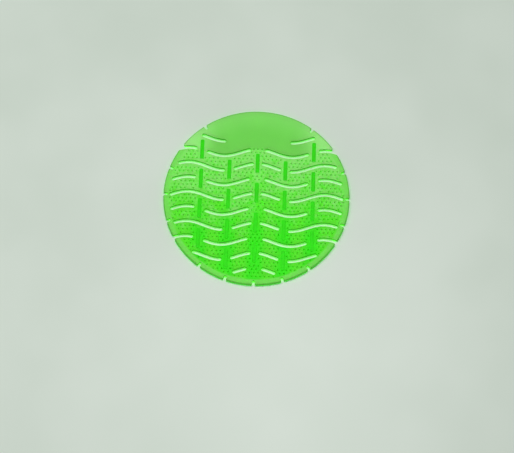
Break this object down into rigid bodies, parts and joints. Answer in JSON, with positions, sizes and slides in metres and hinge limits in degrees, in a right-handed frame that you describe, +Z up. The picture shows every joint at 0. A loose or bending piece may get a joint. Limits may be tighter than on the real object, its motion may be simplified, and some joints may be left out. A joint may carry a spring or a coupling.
{
  "type": "urinal deodorizer screen",
  "caption": "Round flexible mat with wavy drain slots, short bristles, ribbed bridges, edge notches and a plain end.",
  "frame": {"origin": "middle of the underside, on the surface that the mat lies on", "axes": "+Z up through the bristles, +Y towards the plain end, +X to the right of it"},
  "size_m": [0.1848, 0.1849, 0.0062],
  "materials": {
    "soft_green": "soft translucent EVA, satin"
  },
  "bodies": {
    "root": {"screen_mat": "soft_green"}
  },
  "joints": []
}
